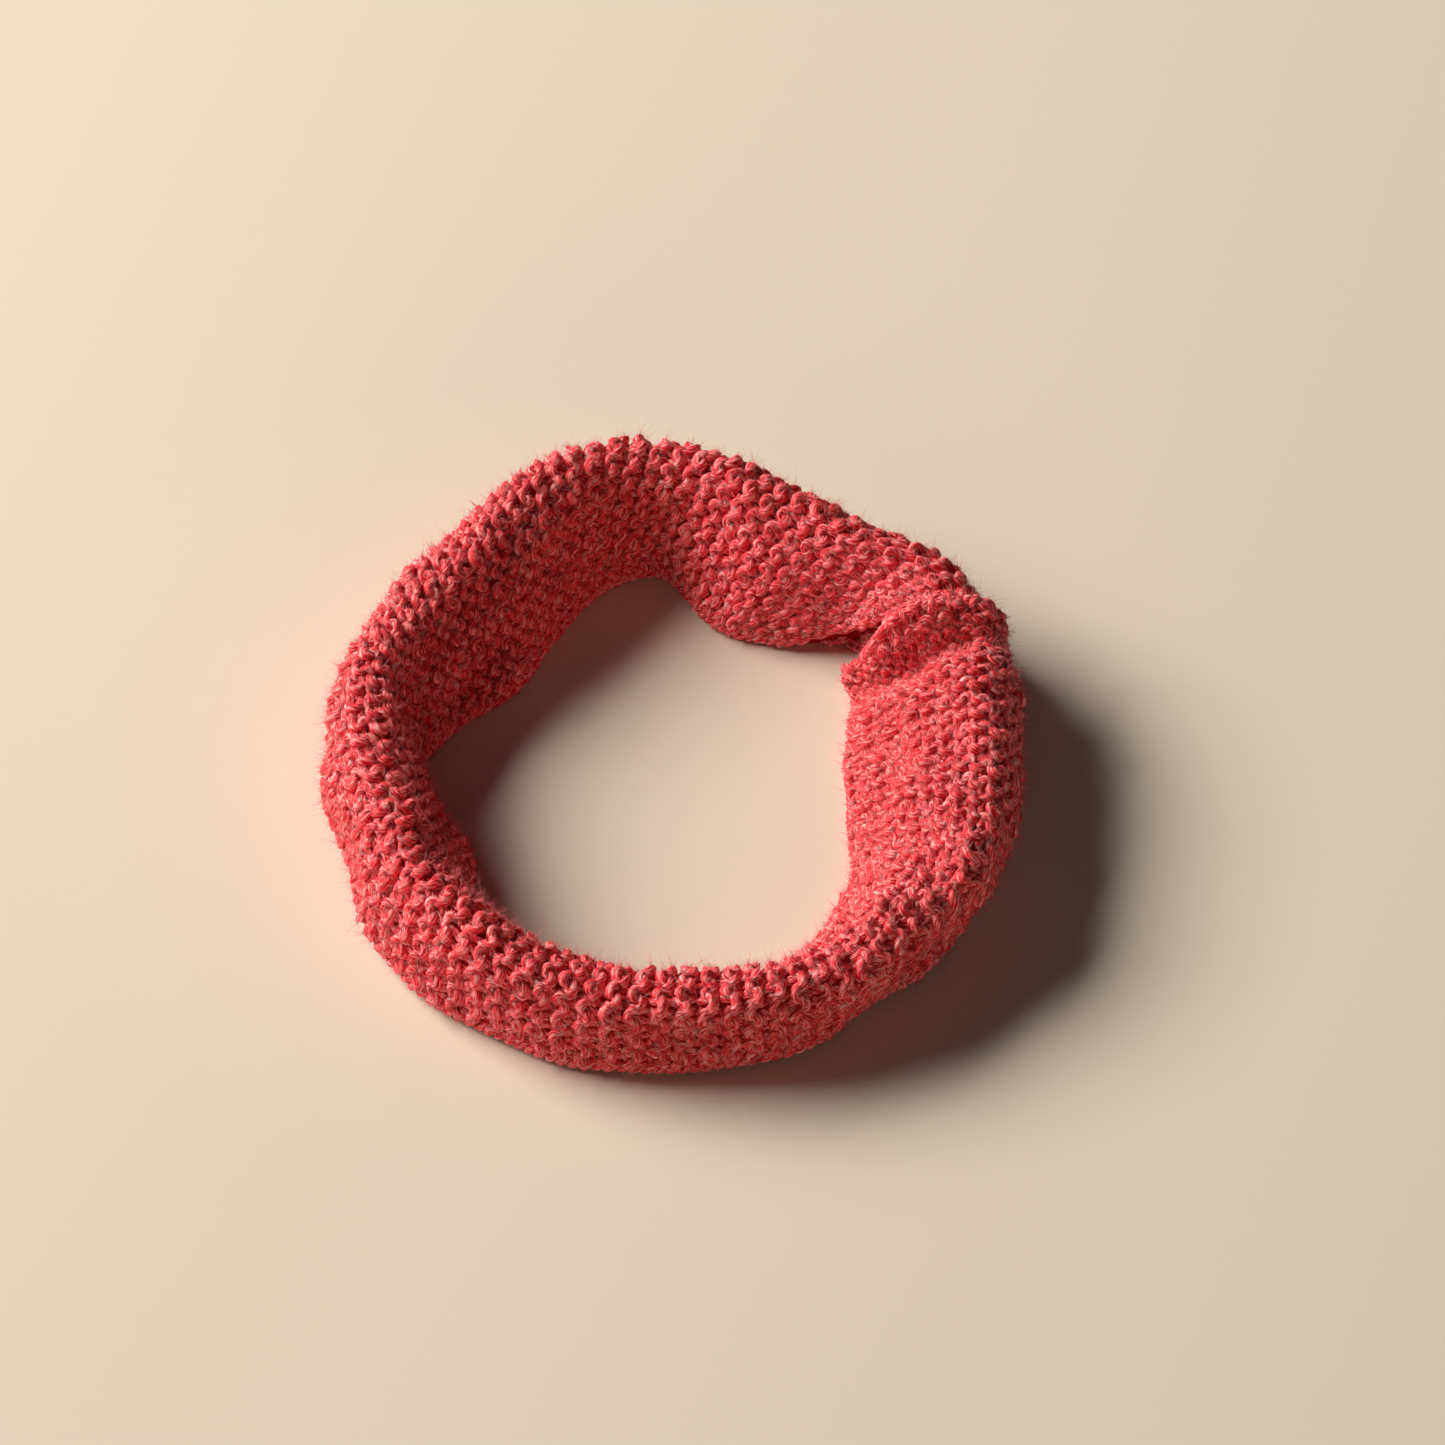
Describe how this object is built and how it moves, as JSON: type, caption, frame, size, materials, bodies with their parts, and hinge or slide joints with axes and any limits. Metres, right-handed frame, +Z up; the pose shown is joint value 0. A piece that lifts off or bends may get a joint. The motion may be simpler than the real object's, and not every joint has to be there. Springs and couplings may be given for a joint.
{
  "type": "knitted headband",
  "caption": "Hand-knitted wool ear-warmer headband: a wide garter-stitch strip sewn into a ring, lying folded over on its inner edge",
  "frame": {"origin": "on the surface that the headband lies on, under the middle of its bounding box", "axes": "+Z up through the head opening, +Y along the ring's longer width towards the high side, +X along its shorter width towards the seam's side"},
  "size_m": [0.1934, 0.216, 0.0387],
  "materials": {
    "band_yarn": "matte, fuzzy heathered wool",
    "edge_yarn": "matte, fuzzy heathered wool",
    "sewing_yarn": "matte, fuzzy heathered wool"
  },
  "bodies": {
    "root": {"knitted_band": "band_yarn", "inner_selvedge": "edge_yarn", "outer_selvedge": "edge_yarn", "cast_on_edge": "edge_yarn", "bind_off_edge": "edge_yarn", "seam_stitches": "sewing_yarn"}
  },
  "joints": []
}
